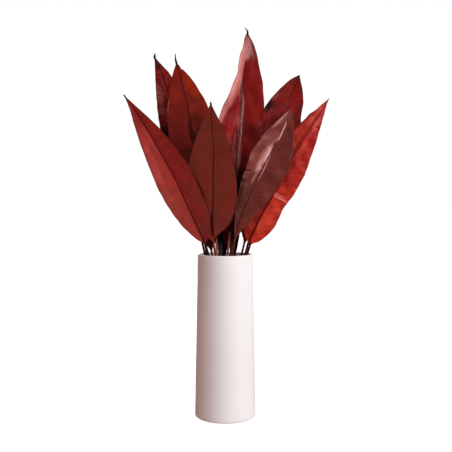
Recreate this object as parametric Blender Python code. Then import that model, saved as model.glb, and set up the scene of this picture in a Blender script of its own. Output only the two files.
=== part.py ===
"""A tall tapering vase holding preserved tropical leaves on thin stalks.

Millimetre tables below are scaled by MM; everything built is in metres, +Z up,
with the vase standing on the origin and its front facing -Y.
"""
import math
from collections import namedtuple

import bpy
from mathutils import Vector

MM = 0.001

# Vase: a thin-walled turned body, wider at the foot than at the mouth.
VASE_HEIGHT = 305.0
VASE_FOOT_RADIUS = 57.2
VASE_MOUTH_RADIUS = 51.8
VASE_WALL = 4.5
VASE_FLOOR = 7.0
VASE_FOOT_ROUNDING = 3.0
VASE_INNER_ROUNDING = 5.0
VASE_SEGMENTS = 48
ROUNDING_STEPS = 4

# Stalks: straight inside the vase, each crossing over towards the far side.
STALK_RADIUS = 1.5
STALK_FOOT_Z = 8.2
STALK_MOUTH_Z = 300.0
STALK_SWIRL = math.radians(130.0)
STALK_GATHER = 1.1

# Blades: a thick midrib thinning towards the tip, thin halves, fine margins;
# a half is folded up along the midrib only where it is wider than the fade.
BLADE_HALF_THICKNESS = 0.5
MIDRIB_HALF_THICKNESS = 1.4
MIDRIB_TIP_SHARE = 0.45
TIP_HALF_WIDTH = 0.9
TIP_END_SHARE = 0.35
FOLD_FADE_WIDTH = 8.0
BLADE_STATIONS = 18
NECK_STATIONS = 3
NECK_LENGTH = 0.05
TIP_STATIONS = 3
CURVE_SAMPLES = 240
ACROSS = (-1.0, -0.6, -0.12, 0.0, 0.12, 0.6, 1.0)

CERAMIC_COLOUR = (0.86, 0.82, 0.80, 1.0)
LEAF_COLOUR = (0.22, 0.03, 0.02, 1.0)

# One half of a blade: greatest width, where along the blade it lies, and how
# full the outline is towards the base and towards the tip.
Half = namedtuple("Half", "width belly base_fullness tip_fullness")

# One leaf: where its stalk passes the mouth, how far it keeps that heading, the
# point it bends past, its tip, the length of bare stalk above the mouth (below
# zero where the blade starts inside the vase), the heading its upper side faces
# with the turn from base to tip, the two halves seen from that side, how far
# each half is folded up at the base and at the tip with the span over which
# that changes, and the drawn-out tip.
Leaf = namedtuple(
    "Leaf",
    "name mouth rise bend tip bare face turn left right fold fold_tip fold_span drip",
)

LEAVES = (
    Leaf("leaf_far_left", (-29, -31), 60, (-90, -70, 456), (-172, -110, 584), 24, -85, 0,
         Half(35.5, 0.47, 3.1, 1.3), Half(35, 0.42, 3.2, 1.6),
         (14, 14), (14, 14), (0.6, 0.9), (-3, 0, 2)),
    Leaf("leaf_left_back", (-38, 4), 120, (-93, 66, 560), (-141, 90, 691), 26, -80, 0,
         Half(34.5, 0.50, 3.0, 1.8), Half(40, 0.50, 2.6, 2.15),
         (4, -4), (4, -8), (0.6, 0.9), (2, 0, 7)),
    Leaf("leaf_left_middle", (-24, -8), 120, (-58, 2, 545), (-92, 12, 664), 8, -88, 0,
         Half(46, 0.50, 2.5, 2.8), Half(42, 0.58, 3.0, 2.3),
         (6, 3), (6, 3), (0.6, 0.9), (-2, 0, 17)),
    Leaf("leaf_front", (-17.5, -27), 80, (-18.5, -61, 460), (-25, -95, 573), 26, -92, 0,
         Half(44, 0.48, 2.6, 1.8), Half(45.5, 0.42, 3.4, 1.65),
         (2, 2), (2, 2), (0.6, 0.9), (0, 0, 3)),
    Leaf("leaf_tall", (4.5, 17), 120, (36, 34, 600), (43, 46, 728), 30, -90, 0,
         Half(42, 0.55, 3.0, 1.9), Half(43, 0.60, 1.8, 1.9),
         (6, 5), (60, 10), (0.5, 0.8), (-6, 0, 10)),
    Leaf("leaf_front_right", (13, -21), 70, (79, -52, 458), (115, -85, 566), 34, -80, 0,
         Half(38, 0.60, 1.5, 1.9), Half(38, 0.60, 1.65, 1.65),
         (14, 14), (14, 14), (0.6, 0.9), (1, 0, 2)),
    Leaf("leaf_right_back", (30.5, 19), 120, (103, 98, 560), (150, 110, 659), 21, -90, 0,
         Half(45, 0.58, 2.3, 2.4), Half(51, 0.54, 2.2, 2.6),
         (6, 4), (6, 4), (0.6, 0.9), (0, 0, 2)),
    Leaf("leaf_far_right", (40, -10), 60, (98, -26, 448), (187, -40, 589), 24, -88, 33,
         Half(37, 0.50, 4.2, 1.9), Half(36, 0.50, 4.6, 1.45),
         (2, 14), (8, 14), (0.2, 0.7), (3, 0, 3)),
    Leaf("leaf_behind_left", (-35, 19), 80, (-82, 90, 450), (-112, 135, 548), 30, -85, 0,
         Half(28, 0.50, 2.0, 1.7), Half(30, 0.50, 1.6, 1.7),
         (10, 10), (10, 10), (0.6, 0.9), (-1, 1, 3)),
    Leaf("leaf_behind_middle_left", (-16.3, 24), 90, (-36, 62, 480), (-52, 100, 577), 30, -95, 0,
         Half(30, 0.50, 1.6, 1.7), Half(30, 0.50, 2.2, 1.7),
         (10, 10), (10, 10), (0.6, 0.9), (0, 1, 3)),
    Leaf("leaf_behind_centre", (-6, 39), 80, (-24, 125, 470), (-32, 175, 550), -35, -90, 0,
         Half(30, 0.50, 1.2, 1.7), Half(30, 0.50, 1.2, 1.7),
         (15, 25), (10, 10), (0.25, 0.6), (0, 2, 3)),
    Leaf("leaf_behind_middle_right", (15.5, 36), 90, (2, 92, 480), (18, 138, 570), -40, -90, 0,
         Half(30, 0.50, 1.2, 1.7), Half(20, 0.50, 1.5, 1.7),
         (30, 55), (10, 10), (0.25, 0.6), (0, 1, 3)),
    Leaf("leaf_behind_right", (37.2, 23.3), 90, (76, 120, 470), (106, 165, 545), 30, -90, 0,
         Half(30, 0.50, 2.0, 1.7), Half(28, 0.50, 2.0, 1.7),
         (10, 10), (10, 10), (0.6, 0.9), (1, 1, 3)),
)


def clear_scene():
    for item in list(bpy.data.objects):
        bpy.data.objects.remove(item, do_unlink=True)


def make_material(name, colour, roughness):
    material = bpy.data.materials.new(name)
    material.use_nodes = True
    shader = material.node_tree.nodes["Principled BSDF"]
    shader.inputs["Base Color"].default_value = colour
    shader.inputs["Roughness"].default_value = roughness
    return material


def add_object(name, points, faces, material, sharp_angle):
    mesh = bpy.data.meshes.new(name)
    mesh.from_pydata([tuple(point) for point in points], [], faces)
    mesh.materials.append(material)
    mesh.shade_smooth()
    mesh.set_sharp_from_angle(angle=sharp_angle)
    item = bpy.data.objects.new(name, mesh)
    bpy.context.scene.collection.objects.link(item)
    return item


def smooth_step(value):
    value = min(max(value, 0.0), 1.0)
    return value * value * (3.0 - 2.0 * value)


def arc_points(centre, radius, start, end, steps):
    points = []
    for step in range(steps + 1):
        angle = start + (end - start) * step / steps
        points.append((centre[0] + radius * math.cos(angle), centre[1] + radius * math.sin(angle)))
    return points


def vase_profile():
    """Half outline from the middle of the underside, round the lip, to the inner floor."""
    lean = (VASE_MOUTH_RADIUS - VASE_FOOT_RADIUS) / VASE_HEIGHT
    lip_radius = VASE_WALL / 2.0
    lip_z = VASE_HEIGHT - lip_radius
    inner_floor_radius = VASE_FOOT_RADIUS + lean * VASE_FLOOR - VASE_WALL
    quarter = math.pi / 2.0
    foot = arc_points(
        (VASE_FOOT_RADIUS - VASE_FOOT_ROUNDING, VASE_FOOT_ROUNDING),
        VASE_FOOT_ROUNDING, -quarter, 0.0, ROUNDING_STEPS)
    lip = arc_points(
        (VASE_MOUTH_RADIUS - lip_radius, lip_z), lip_radius, 0.0, 2.0 * quarter, 2 * ROUNDING_STEPS)
    corner = arc_points(
        (inner_floor_radius - VASE_INNER_ROUNDING, VASE_FLOOR + VASE_INNER_ROUNDING),
        VASE_INNER_ROUNDING, 0.0, -quarter, ROUNDING_STEPS)
    return foot + lip + corner


def build_vase(material):
    profile = vase_profile()
    points = []
    for radius, height in profile:
        for segment in range(VASE_SEGMENTS):
            angle = 2.0 * math.pi * segment / VASE_SEGMENTS
            points.append((
                radius * MM * math.cos(angle), radius * MM * math.sin(angle), height * MM))
    faces = []
    for row in range(len(profile) - 1):
        for segment in range(VASE_SEGMENTS):
            following = (segment + 1) % VASE_SEGMENTS
            low = row * VASE_SEGMENTS
            high = low + VASE_SEGMENTS
            faces.append((low + segment, low + following, high + following, high + segment))
    faces.append(tuple(reversed(range(VASE_SEGMENTS))))
    last = (len(profile) - 1) * VASE_SEGMENTS
    faces.append(tuple(range(last, last + VASE_SEGMENTS)))
    return add_object("vase", points, faces, material, math.radians(50.0))


def stalk_ends(leaf):
    """Foot and mouth points: the foot is the mouth point turned round the axis."""
    mouth_x, mouth_y = leaf.mouth
    turn_cos = math.cos(STALK_SWIRL) * STALK_GATHER
    turn_sin = math.sin(STALK_SWIRL) * STALK_GATHER
    foot = Vector((
        turn_cos * mouth_x - turn_sin * mouth_y, turn_sin * mouth_x + turn_cos * mouth_y,
        STALK_FOOT_Z))
    mouth = Vector((mouth_x, mouth_y, STALK_MOUTH_Z))
    return foot * MM, mouth * MM


def leaf_curve(leaf):
    """Points from the mouth to the blade's apex with the distance run to each."""
    foot, mouth = stalk_ends(leaf)
    heading = (mouth - foot).normalized()
    onward = mouth + heading * leaf.rise * MM
    bend = Vector(leaf.bend) * MM
    tip = Vector(leaf.tip) * MM
    points = []
    runs = []
    run = 0.0
    for sample in range(CURVE_SAMPLES + 1):
        t = sample / CURVE_SAMPLES
        u = 1.0 - t
        point = mouth * u**3 + onward * (3.0 * u * u * t) + bend * (3.0 * u * t * t) + tip * t**3
        if points:
            run += (point - points[-1]).length
        points.append(point)
        runs.append(run)
    return points, runs


def curve_at(points, runs, run):
    """Point and heading at a distance along the curve."""
    index = 1
    while index < len(runs) - 1 and runs[index] < run:
        index += 1
    share = (run - runs[index - 1]) / (runs[index] - runs[index - 1])
    point = points[index - 1].lerp(points[index], share)
    before = points[max(index - 2, 0)]
    after = points[min(index + 1, len(points) - 1)]
    return point, (after - before).normalized()


def half_width(half, along):
    if along < half.belly:
        reach = (half.belly - along) / half.belly
        fullness = half.base_fullness
    else:
        reach = (along - half.belly) / (1.0 - half.belly)
        fullness = half.tip_fullness
    return half.width * MM * max(1.0 - reach**fullness, 0.0)


def leaf_frame(leaf, heading, along):
    """Directions across the blade to the right and out of its upper side."""
    facing = math.radians(leaf.face + leaf.turn * along)
    across = heading.cross(Vector((math.cos(facing), math.sin(facing), 0.0))).normalized()
    return across, across.cross(heading)


def stalk_ring(leaf, point, heading, along, radius):
    across, upper = leaf_frame(leaf, heading, along)
    ring = []
    for side in ACROSS:
        angle = side * math.pi / 2.0
        ring.append(point + (across * math.sin(angle) + upper * math.cos(angle)) * radius)
    for side in reversed(ACROSS[1:-1]):
        angle = side * math.pi / 2.0
        ring.append(point + (across * math.sin(angle) - upper * math.cos(angle)) * radius)
    return ring


def fold_angle(leaf, index, width, along):
    """How far a half is folded up; the fold dies out where the half is narrow."""
    folding = smooth_step((along - leaf.fold_span[0]) / (leaf.fold_span[1] - leaf.fold_span[0]))
    angle = leaf.fold[index] + (leaf.fold_tip[index] - leaf.fold[index]) * folding
    return math.radians(angle) * smooth_step(width / (FOLD_FADE_WIDTH * MM))


def blade_ring(leaf, point, heading, along):
    """Cross-section of the blade, growing out of the round stalk over its neck."""
    across, upper = leaf_frame(leaf, heading, along)
    neck = smooth_step(along / NECK_LENGTH)
    rib = MIDRIB_HALF_THICKNESS * (1.0 - (1.0 - MIDRIB_TIP_SHARE) * along)
    radius = STALK_RADIUS * MM
    outward = []
    normals = []
    widths = []
    for index, half in enumerate((leaf.left, leaf.right)):
        sign = 2.0 * index - 1.0
        width = max(half_width(half, along), TIP_HALF_WIDTH * MM)
        fold = fold_angle(leaf, index, width, along)
        widths.append(width)
        outward.append(across * (sign * math.cos(fold)) + upper * math.sin(fold))
        normals.append(upper * math.cos(fold) - across * (sign * math.sin(fold)))
    middles = []
    offsets = []
    for side in ACROSS:
        index = 0 if side < 0.0 else 1
        width = max(
            widths[index] * abs(side),
            radius * math.sin(abs(side) * math.pi / 2.0) * (1.0 - neck))
        flat = rib if side == 0.0 else BLADE_HALF_THICKNESS
        if abs(side) == 1.0:
            flat = 0.0
        round_part = radius * math.cos(side * math.pi / 2.0)
        normal = (normals[0] + normals[1]).normalized() if side == 0.0 else normals[index]
        middles.append(point + outward[index] * width)
        offsets.append(normal * (round_part + (flat * MM - round_part) * neck))
    ring = [middle + offset for middle, offset in zip(middles, offsets)]
    for middle, offset in reversed(list(zip(middles, offsets))[1:-1]):
        ring.append(middle - offset)
    return ring


def drip_rings(leaf, apex, heading):
    """The drawn-out tip beyond the apex, curving away and thinning."""
    drip = Vector(leaf.drip) * MM
    middle = apex + heading * (drip.length / 2.0)
    end = apex + drip
    rings = []
    for station in range(1, TIP_STATIONS + 1):
        t = station / TIP_STATIONS
        u = 1.0 - t
        point = apex * u * u + middle * (2.0 * u * t) + end * (t * t)
        direction = ((middle - apex) * u + (end - middle) * t).normalized()
        radius = TIP_HALF_WIDTH * MM * (1.0 - (1.0 - TIP_END_SHARE) * t)
        rings.append(stalk_ring(leaf, point, direction, 1.0, radius))
    return rings


def build_leaf(leaf, material):
    foot, mouth = stalk_ends(leaf)
    heading = (mouth - foot).normalized()
    points, runs = leaf_curve(leaf)
    bare = leaf.bare * MM
    radius = STALK_RADIUS * MM
    rings = [stalk_ring(leaf, foot, heading, 0.0, radius)]
    if bare > 0.0:
        rings.append(stalk_ring(leaf, mouth, heading, 0.0, radius))
        for station in range(1, NECK_STATIONS):
            point, heading = curve_at(points, runs, bare * station / NECK_STATIONS)
            rings.append(stalk_ring(leaf, point, heading, 0.0, radius))
    for station in range(BLADE_STATIONS + 1):
        along = 0.5 - 0.5 * math.cos(math.pi * station / BLADE_STATIONS)
        point, heading = curve_at(points, runs, bare + (runs[-1] - bare) * along)
        rings.append(blade_ring(leaf, point, heading, along))
    rings.extend(drip_rings(leaf, points[-1], heading))
    count = len(rings[0])
    upper_steps = len(ACROSS) - 1
    faces = []
    for row in range(len(rings) - 1):
        for step in range(count):
            following = (step + 1) % count
            low = row * count
            high = low + count
            # Both sides of the sheet are split along the same diagonal, so it keeps its thickness.
            if step < upper_steps:
                faces.append((low + step, low + following, high + following))
                faces.append((low + step, high + following, high + step))
            else:
                faces.append((low + step, low + following, high + step))
                faces.append((low + following, high + following, high + step))
    faces.append(tuple(reversed(range(count))))
    last = (len(rings) - 1) * count
    faces.append(tuple(range(last, last + count)))
    corners = [corner for ring in rings for corner in ring]
    return add_object(leaf.name, corners, faces, material, math.radians(60.0))


clear_scene()
ceramic = make_material("matte_ceramic", CERAMIC_COLOUR, 0.6)
foliage = make_material("preserved_leaf", LEAF_COLOUR, 0.45)
build_vase(ceramic)
for leaf_row in LEAVES:
    build_leaf(leaf_row, foliage)
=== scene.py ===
"""Looks of a tall tapering vase holding preserved tropical leaves on thin stalks.

Lengths in the tables are millimetres and are scaled by MM; everything built is in
metres in the model's own frame, +Z up, with the front facing -Y.
"""

import math
import random
from collections import namedtuple

import bpy
import numpy as np
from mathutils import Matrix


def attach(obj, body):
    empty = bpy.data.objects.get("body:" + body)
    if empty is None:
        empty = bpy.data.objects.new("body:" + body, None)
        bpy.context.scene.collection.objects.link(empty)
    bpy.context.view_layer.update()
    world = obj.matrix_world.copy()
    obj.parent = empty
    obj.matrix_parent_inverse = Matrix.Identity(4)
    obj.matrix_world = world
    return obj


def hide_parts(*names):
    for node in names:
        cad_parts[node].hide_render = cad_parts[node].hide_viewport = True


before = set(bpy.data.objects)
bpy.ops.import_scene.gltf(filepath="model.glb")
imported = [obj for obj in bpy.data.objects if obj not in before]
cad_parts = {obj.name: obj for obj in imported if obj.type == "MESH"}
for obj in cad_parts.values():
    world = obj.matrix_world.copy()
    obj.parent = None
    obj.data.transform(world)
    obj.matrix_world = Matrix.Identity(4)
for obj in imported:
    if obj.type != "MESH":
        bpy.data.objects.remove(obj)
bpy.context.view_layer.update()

MM = 0.001

# Camera: level with the leaves' lower half, looking slightly down.
CAMERA_PLACE = (0.0013, -1.28, 0.403)
CAMERA_DOWN = math.radians(2.032)
CAMERA_LENS = 54.32
CAMERA_SENSOR = 36.0

# Surround and floor, in metres. The camera sees the surround as white; the floor
# glows for the camera alone, so that it meets the white without a horizon.
WHITE = (1.0, 1.0, 1.0, 1.0)
SURROUND_AMBIENT = (0.45, 0.315, 0.29, 1.0)
SURROUND_MIRRORED = (0.24, 0.19, 0.18, 1.0)
FLOOR_COLOUR = (0.40, 0.25, 0.245)
FLOOR_GLOW = 0.97
FLOOR_HALF_WIDTH = 60.0
FLOOR_DROP = 0.0002

# Softboxes: direction round the vase from the front and upwards in degrees,
# distance, width and height in metres, the height on the vase's axis that they
# face, and whether they light matt surfaces or show in gloss alone. The third
# is there for the views from behind.
Softbox = namedtuple(
    "Softbox", "name azimuth elevation distance width height watts colour target_z lights_matt")
SOFTBOXES = (
    Softbox("key_softbox", 44.0, 17.0, 2.2, 2.0, 2.0, 49.0, (0.95, 1.06, 1.09), 0.35, True),
    Softbox("rim_softbox", 136.0, 12.0, 2.0, 1.4, 1.6, 18.0, (1.0, 0.97, 0.96), 0.45, False),
    Softbox("back_softbox", 192.0, 10.0, 2.2, 0.9, 1.6, 20.0, (1.0, 0.98, 0.97), 0.35, True),
)

# Vase, the same turned body as the solid but for a very slight unevenness.
VASE_HEIGHT = 305.0
VASE_FOOT_RADIUS = 57.2
VASE_MOUTH_RADIUS = 51.8
VASE_WALL = 4.5
VASE_FLOOR = 7.0
VASE_FOOT_ROUNDING = 3.0
VASE_INNER_ROUNDING = 5.0
VASE_SEGMENTS = 192
VASE_WALL_ROWS = 40
VASE_ROUNDING_STEPS = 10
VASE_UNEVENNESS = 0.08
VASE_UNEVEN_RISE = 40.0
VASE_AXIS_GAP = 2.0
VASE_SHARP_ANGLE = math.radians(50.0)
CERAMIC_TONES = ((0.845, 0.825, 0.82, 1.0), (0.865, 0.85, 0.845, 1.0))

# Stalks: straight inside the vase, each crossing over towards the far side.
STALK_RADIUS = 1.5
STALK_MOUTH_RADIUS = 2.0
STALK_SWELLING_LENGTH = 60.0
STALK_FOOT_Z = 8.2
STALK_MOUTH_Z = 300.0
STALK_SWIRL = math.radians(130.0)
STALK_GATHER = 1.1

# Blades: lengths in millimetres, shares of the blade's length or of a width, and
# plain factors, exponents and counts.
PINCH_START = 0.82
NECK_LENGTH = 0.05
FOLD_FADE_WIDTH = 8.0
FOLD_SOFTNESS = 1.6
SHEET_HALF_THICKNESS = 0.28
EDGE_TAPER_WIDTH = 0.8
OUTLINE_WAVER = 0.010
NOTCH_FADE = 0.05
RIB_HEIGHT_BASE = 1.25
RIB_HEIGHT_TIP = 0.35
RIB_THINNING = 0.8
RIB_WIDTH_BASE = 1.5
RIB_WIDTH_TIP = 0.7
RIB_WIDTH_LIMIT = 0.45
GROOVE_DEPTH = 0.35
GROOVE_WIDTH = 0.6
SWING_FADE = 0.04
SWING_LIMIT = 0.75
SWING_SOFTNESS = 21
DRIP_ROUNDING = 1.6
RELIEF_FADE_WIDTH = 12.0
RELIEF_FADE_LENGTH = 0.08
SEED_STEP = 37.0
VEIN_LEAN = 0.42
VEIN_BOW = 0.22
VEIN_PITCH = 0.62
LEAF_SHARP_ANGLE = math.radians(60.0)
CURVE_SAMPLES = 400
INSIDE_ROWS = 8
BARE_ROWS = 8
BLADE_ROWS = 220
DRIP_ROWS = 10
HALF_COLUMNS = (
    0.02, 0.045, 0.08, 0.125, 0.18, 0.245, 0.32, 0.4, 0.48, 0.56, 0.64, 0.72, 0.8, 0.87,
    0.93, 0.965, 0.988, 1.0)

# One half of a blade: greatest width, where along the blade it lies, and how
# full the outline is towards the base and towards the tip.
Half = namedtuple("Half", "width belly base_fullness tip_fullness")

# One leaf: where its stalk passes the mouth, how far it keeps that heading, the
# point it bends past, its tip, the length of bare stalk above the mouth, the
# heading its upper side faces with the turn from base to tip, the two halves
# seen from that side, how far each half is folded up at the base and at the
# tip with the span over which that changes, and the drawn-out tip.
Leaf = namedtuple(
    "Leaf",
    "name mouth rise bend tip bare face turn left right fold fold_tip fold_span drip",
)

LEAVES = (
    Leaf("leaf_far_left", (-29, -31), 60, (-90, -70, 456), (-172, -110, 584), 24, -85, 0,
         Half(35.5, 0.47, 3.1, 1.3), Half(35, 0.42, 3.2, 1.6),
         (14, 14), (14, 14), (0.6, 0.9), (-3, 0, 2)),
    Leaf("leaf_left_back", (-38, 4), 120, (-93, 66, 560), (-141, 90, 691), 26, -80, 0,
         Half(34.5, 0.50, 3.0, 1.8), Half(40, 0.50, 2.6, 2.15),
         (4, -4), (4, -8), (0.6, 0.9), (2, 0, 7)),
    Leaf("leaf_left_middle", (-24, -8), 120, (-58, 2, 545), (-92, 12, 664), 8, -88, 0,
         Half(46, 0.50, 2.5, 2.8), Half(42, 0.58, 3.0, 2.3),
         (6, 3), (6, 3), (0.6, 0.9), (-2, 0, 17)),
    Leaf("leaf_front", (-17.5, -27), 80, (-18.5, -61, 460), (-25, -95, 573), 26, -92, 0,
         Half(44, 0.48, 2.6, 1.8), Half(45.5, 0.42, 3.4, 1.65),
         (2, 2), (2, 2), (0.6, 0.9), (0, 0, 3)),
    Leaf("leaf_tall", (4.5, 17), 120, (36, 34, 600), (43, 46, 728), 30, -90, 0,
         Half(42, 0.55, 3.0, 1.9), Half(43, 0.60, 1.8, 1.9),
         (6, 5), (60, 10), (0.5, 0.8), (-6, 0, 10)),
    Leaf("leaf_front_right", (13, -21), 70, (79, -52, 458), (115, -85, 566), 34, -80, 0,
         Half(38, 0.60, 1.5, 1.9), Half(38, 0.60, 1.65, 1.65),
         (14, 14), (14, 14), (0.6, 0.9), (1, 0, 2)),
    Leaf("leaf_right_back", (30.5, 19), 120, (103, 98, 560), (150, 110, 659), 21, -90, 0,
         Half(45, 0.58, 2.3, 2.4), Half(51, 0.54, 2.2, 2.6),
         (6, 4), (6, 4), (0.6, 0.9), (0, 0, 2)),
    Leaf("leaf_far_right", (40, -10), 60, (98, -26, 448), (187, -40, 589), 20, -88, 33,
         Half(37, 0.50, 4.2, 1.9), Half(36, 0.50, 4.6, 1.45),
         (2, 14), (8, 14), (0.2, 0.7), (3, 0, 3)),
    Leaf("leaf_behind_left", (-35, 19), 80, (-82, 90, 450), (-112, 135, 548), 30, -85, 0,
         Half(28, 0.50, 2.0, 1.7), Half(30, 0.50, 1.6, 1.7),
         (10, 10), (10, 10), (0.6, 0.9), (-1, 1, 3)),
    Leaf("leaf_behind_middle_left", (-16.3, 24), 90, (-36, 62, 480), (-52, 100, 577), 30, -95, 0,
         Half(30, 0.50, 1.6, 1.7), Half(30, 0.50, 2.2, 1.7),
         (10, 10), (10, 10), (0.6, 0.9), (0, 1, 3)),
    Leaf("leaf_behind_centre", (-6, 39), 80, (-24, 125, 470), (-32, 175, 550), -35, -90, 0,
         Half(30, 0.50, 1.2, 1.7), Half(30, 0.50, 1.2, 1.7),
         (15, 25), (10, 10), (0.25, 0.6), (0, 2, 3)),
    Leaf("leaf_behind_middle_right", (15.5, 36), 90, (2, 92, 480), (18, 138, 570), -40, -90, 0,
         Half(30, 0.50, 1.2, 1.7), Half(20, 0.50, 1.5, 1.7),
         (30, 55), (10, 10), (0.25, 0.6), (0, 1, 3)),
    Leaf("leaf_behind_right", (37.2, 23.3), 90, (76, 120, 470), (106, 165, 545), 30, -90, 0,
         Half(30, 0.50, 2.0, 1.7), Half(28, 0.50, 2.0, 1.7),
         (10, 10), (10, 10), (0.6, 0.9), (1, 1, 3)),
)

# The lie of a leaf's surface: seed of its waves, rolling height with the shortest
# and longest wave of its slow buckles, puckering between the side veins with
# their spacing, the waviness of the left and right margin with its wavelength,
# how much each half narrows close to the apex (below zero it widens), the
# drawn-out tip's half width at its root and at its end with how much of its
# length is left, how far the midrib swings to the right of the middle at places
# along the blade, creases and notches.
Relief = namedtuple(
    "Relief",
    "seed roll roll_waves pucker spacing margin_waves margin_length pinch tip"
    " swing creases notches")

# A crease: place along and across the blade, the slope of its line against the
# direction across, half its length and width, and its height, below zero for a
# furrow.
Crease = namedtuple("Crease", "along across slope length width height")

# A dent in a margin: its side, -1 left or 1 right, place along the blade, half
# its length as a share of the blade, and its depth. Below zero it is a fuller
# stretch instead.
Notch = namedtuple("Notch", "side along reach depth")

# The leaves that have no row of their own in RELIEFS share this one.
PLAIN_RELIEF = Relief(
    1, 0.35, (35, 90), 0.10, 7.0, (0.3, 0.3), (40, 46), (0, 0), (1.0, 0.5, 0.9),
    ((0, 0), (1, 0)), (), ())
RELIEFS = {
    "leaf_far_left": Relief(
        11, 0.35, (35, 90), 0.08, 7.0, (0.5, 0.4), (44, 50), (0.25, 0.10), (1.2, 0.4, 0.6),
        ((0, 0), (0.05, -1), (0.12, -1.8), (0.20, -2.4), (0.30, -2.4), (0.37, -1.2), (0.42, 0),
         (0.66, 0.3), (0.72, 1.3), (0.82, 0.6), (1, 0)), (), ()),
    "leaf_left_back": Relief(
        12, 0.9, (16, 50), 0.30, 12.0, (1.5, 1.0), (26, 40), (0, 0), (2.2, 1.1, 1.0),
        ((0, 0), (0.6, 0), (0.70, 2), (0.80, 2.8), (0.88, 2.5), (1, 0)), (), (
            Notch(1, 0.895, 0.05, -3.0),
        )),
    "leaf_left_middle": Relief(
        13, 0.4, (30, 80), 0.12, 8.0, (0.6, 1.2), (48, 24), (0, 0), (2.0, 0.7, 1.0),
        ((0, 0), (1, 0)), (), (
            Notch(1, 0.965, 0.008, 2.0),
        )),
    "leaf_front": Relief(
        14, 0.3, (35, 90), 0.07, 7.0, (0.3, 0.3), (50, 56), (0, 0.10), (1.7, 0.7, 0.8),
        ((0, 0), (0.20, 0), (0.27, 1.9), (0.72, 1.9), (0.80, 0), (1, 0)), (), (
            Notch(1, 0.045, 0.075, 11.0),
        )),
    "leaf_tall": Relief(
        15, 0.8, (20, 55), 0.25, 8.0, (0.5, 0.4), (60, 54), (-0.15, -0.3), (1.9, 0.7, 0.95),
        ((0, 0), (0.34, 2.0), (0.43, 2.0), (0.48, 2.8), (0.53, 2.8), (0.58, 1.2), (0.62, 1.9),
         (0.67, 2.0), (0.71, -1.9), (0.77, -3.4), (0.81, -3.6), (0.87, -1.7), (0.92, 0), (1, 0)), (
            Crease(0.52, -0.25, 0.60, 10, 3.5, 1.0),
            Crease(0.45, -0.50, 0.80, 10, 3.0, -0.9),
            Crease(0.60, -0.60, 0.60, 12, 4.0, 0.9),
        ), (
            Notch(-1, 0.945, 0.042, -4.2),
            Notch(-1, 0.755, 0.06, 3.0),
        )),
    "leaf_front_right": Relief(
        16, 0.6, (22, 60), 0.26, 8.5, (0.5, 0.5), (30, 38), (0, 0), (1.2, 0.5, 0.5),
        ((0, 0), (0.15, -3.2), (0.30, -3.8), (0.42, -4.7), (0.50, -3.5), (0.60, -3.6),
         (0.70, -3.0), (0.78, -1.5), (0.90, -1), (1, 0)), (
            Crease(0.49, -0.90, 0.35, 6, 1.6, -1.2),
        ), (
            Notch(-1, 0.496, 0.012, 2.2),
        )),
    "leaf_right_back": Relief(
        17, 0.7, (22, 60), 0.20, 8.0, (0.7, 0.5), (40, 36), (0, 0), (1.2, 0.6, 0.2),
        ((0, 0), (0.4, 0), (0.6, -2), (0.76, -2.2), (0.84, 0), (1, 0)), (), (
            Notch(1, 0.775, 0.075, 6.0),
            Notch(-1, 0.955, 0.045, -2.6),
        )),
    "leaf_far_right": Relief(
        18, 0.8, (20, 50), 0.42, 14.0, (0.6, 0.9), (40, 24), (0, 0.10), (1.0, 0.4, 0.1),
        ((0, 0), (0.04, -3), (0.10, -2.4), (0.20, -0.9), (0.25, 0), (0.30, 1.9), (0.36, 1.9),
         (0.50, 0), (1, 0)), (
            Crease(0.344, 0.55, 0.0, 14, 1.6, 1.2),
            Crease(0.375, 0.55, 0.0, 12, 2.6, -1.0),
        ), (
            Notch(1, 0.285, 0.075, 5.0),
        )),
}

# Colours of a leaf, as seen on screen: seed of its noise, each half low down and
# high up with the span over which they change; redder blotches and duller ones,
# each with its strength; midrib low down and high up with half its width at the
# base, margin, tip and stalk; then roughness, specular level, coat, contrast of
# the herringbone of side veins, strength of the painted light and shade on the
# ripples between them, strength of the painted shade on one flank of the midrib
# (above zero on the right, below on the left), and the painted highlight on the
# ridge that the midrib forms, with a painted dark furrow beside it: its half width,
# the highlight's colour and the part of the blade where it shows.
Look = namedtuple(
    "Look",
    "seed left_low left_high right_low right_high rise blotch blotch_share dull dull_share"
    " rib_low rib rib_reach margin tip stalk roughness specular coat veins ripple flank ridge",
    defaults=(0.5, 0.05, 0.0, 0.10, 0.05, 0.2, None))

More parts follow.
